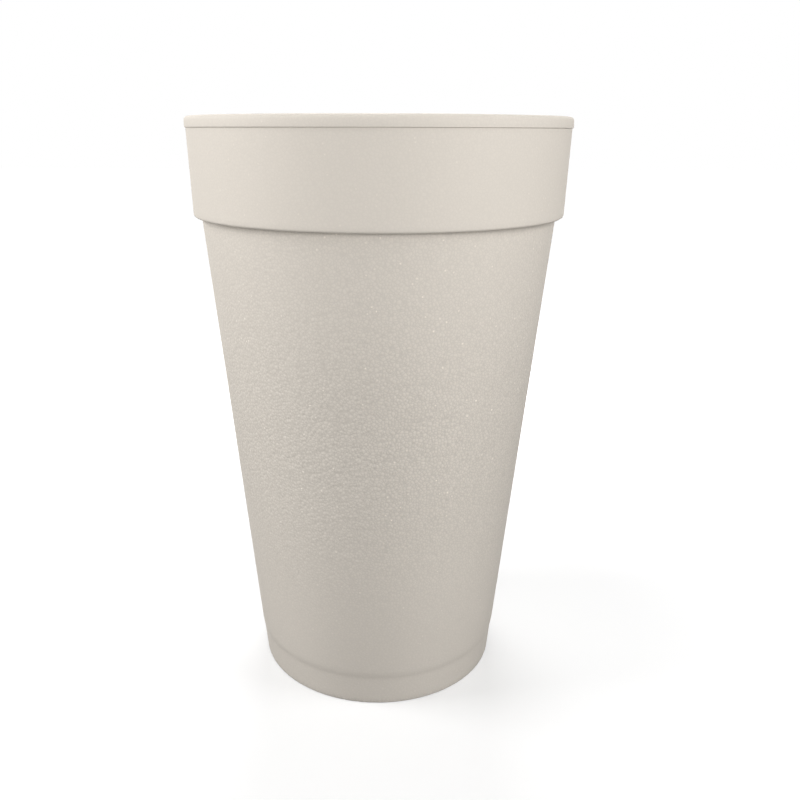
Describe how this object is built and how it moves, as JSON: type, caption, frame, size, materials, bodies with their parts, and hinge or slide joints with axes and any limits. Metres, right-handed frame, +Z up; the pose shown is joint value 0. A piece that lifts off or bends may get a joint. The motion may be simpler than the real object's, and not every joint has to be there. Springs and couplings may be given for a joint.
{
  "type": "foam cup",
  "caption": "Tall tapered foam drinking cup with a deep stacking collar, a square lip for a lid and a base recessed inside a foot ring, shown empty and upright.",
  "frame": {"origin": "centre of the foot ring, on the surface the cup stands on", "axes": "+Z up along the cup's axis, from the base to the rim"},
  "size_m": [0.095, 0.095, 0.1455],
  "materials": {
    "foam": "matte warm white expanded polystyrene with fused beads showing"
  },
  "bodies": {
    "root": {"foam_cup": "foam"}
  },
  "joints": []
}
